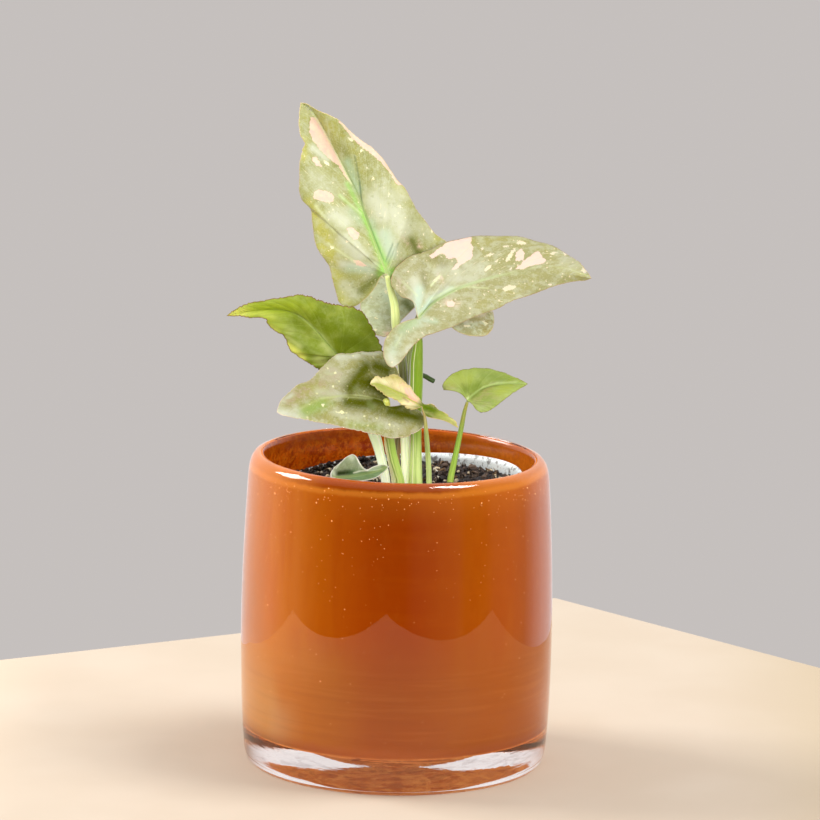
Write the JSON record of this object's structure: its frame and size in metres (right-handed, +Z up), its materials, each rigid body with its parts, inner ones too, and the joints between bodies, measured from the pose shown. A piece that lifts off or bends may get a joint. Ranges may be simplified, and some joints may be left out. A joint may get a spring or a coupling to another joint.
{
  "type": "potted arrowhead plant",
  "caption": "Young arrowhead plant with variegated arrow-shaped leaves on slender stalks, in a plastic nursery pot set inside an amber glass cover pot with a thick clear foot.",
  "frame": {"origin": "centre of the flat underside of the glass cover pot, where it stands", "axes": "+Z up; -Y is the front, toward the viewer of the plant's best side; +X is to that viewer's right, where the long variegated leaf reaches"},
  "size_m": [0.127, 0.11, 0.2313],
  "materials": {
    "clear_glass": "clear polished glass with a few tiny bubbles",
    "amber_glass": "glossy dense amber-orange cased glass, cloudy red-orange on the inside",
    "liner_plastic": "satin white nursery-pot plastic",
    "potting_mix": "damp dark potting mix with bark, fibre and perlite grains",
    "root_tissue": "pale matt root and stem tissue",
    "leaf_variegated": "satin grey-green blade with pale pink blotches and cream flecks",
    "leaf_green": "satin bright green translucent blade, dark thin margin",
    "leaf_shaded": "satin olive blade with grey sheen and cream flecks",
    "leaf_young": "soft curled young blade, cream-pink with yellow-green veins",
    "leaf_silver": "dark grey-green blade with silvery folded margin",
    "stalk_pale": "smooth pale whitish-green stalk",
    "stalk_green": "smooth fresh green stalk with lengthwise streaks",
    "stalk_brown": "olive-brown stalk"
  },
  "bodies": {
    "root": {"planter_clear_casing": "clear_glass", "planter_amber_glass": "amber_glass", "nursery_pot": "liner_plastic", "potting_soil": "potting_mix", "stem_base_main": "root_tissue", "stem_base_right": "root_tissue", "stem_base_left": "root_tissue", "leaf_a_petiole": "stalk_pale", "leaf_b_petiole": "stalk_green", "leaf_c_petiole": "stalk_brown", "leaf_d_petiole": "stalk_pale", "leaf_e_petiole": "stalk_green", "leaf_f_petiole": "stalk_green", "leaf_h_petiole": "stalk_green", "leaf_i_petiole": "stalk_green", "young_sheath": "stalk_pale", "cut_stalk_stub": "stalk_brown", "leaf_a_blade": "leaf_variegated", "leaf_b_blade": "leaf_variegated", "leaf_c_blade": "leaf_variegated", "leaf_d_blade": "leaf_green", "leaf_e_blade": "leaf_shaded", "leaf_f_blade": "leaf_young", "leaf_h_blade": "leaf_green", "leaf_i_blade": "leaf_silver"}
  },
  "joints": []
}
